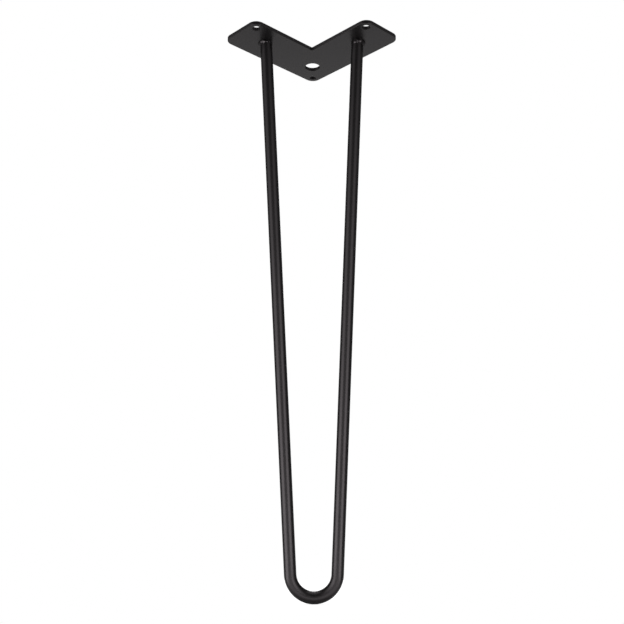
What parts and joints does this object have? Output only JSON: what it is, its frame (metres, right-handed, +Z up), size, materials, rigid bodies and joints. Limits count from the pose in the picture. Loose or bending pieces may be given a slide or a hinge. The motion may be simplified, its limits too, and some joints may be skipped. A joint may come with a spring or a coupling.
{
  "type": "hairpin table leg",
  "caption": "Hairpin table leg: a round steel rod bent into a narrow V with a round foot, welded under an L-shaped mounting plate with screw holes, black powder coat.",
  "frame": {"origin": "on the axis of the plate's large centre hole, on the top face that meets the table's underside", "axes": "+Z up, the normal of the plate's top face; +Y outwards, to the plate's outer corner and the table's corner; +X to the right arm, seen from the open side between the arms"},
  "size_m": [0.1402, 0.1062, 0.457],
  "materials": {
    "black_powder_coat": "satin black powder coat with a fine orange peel, on welded mild steel"
  },
  "bodies": {
    "root": {"mounting_plate": "black_powder_coat", "hairpin_rod": "black_powder_coat", "left_weld_bead": "black_powder_coat", "right_weld_bead": "black_powder_coat"}
  },
  "joints": []
}
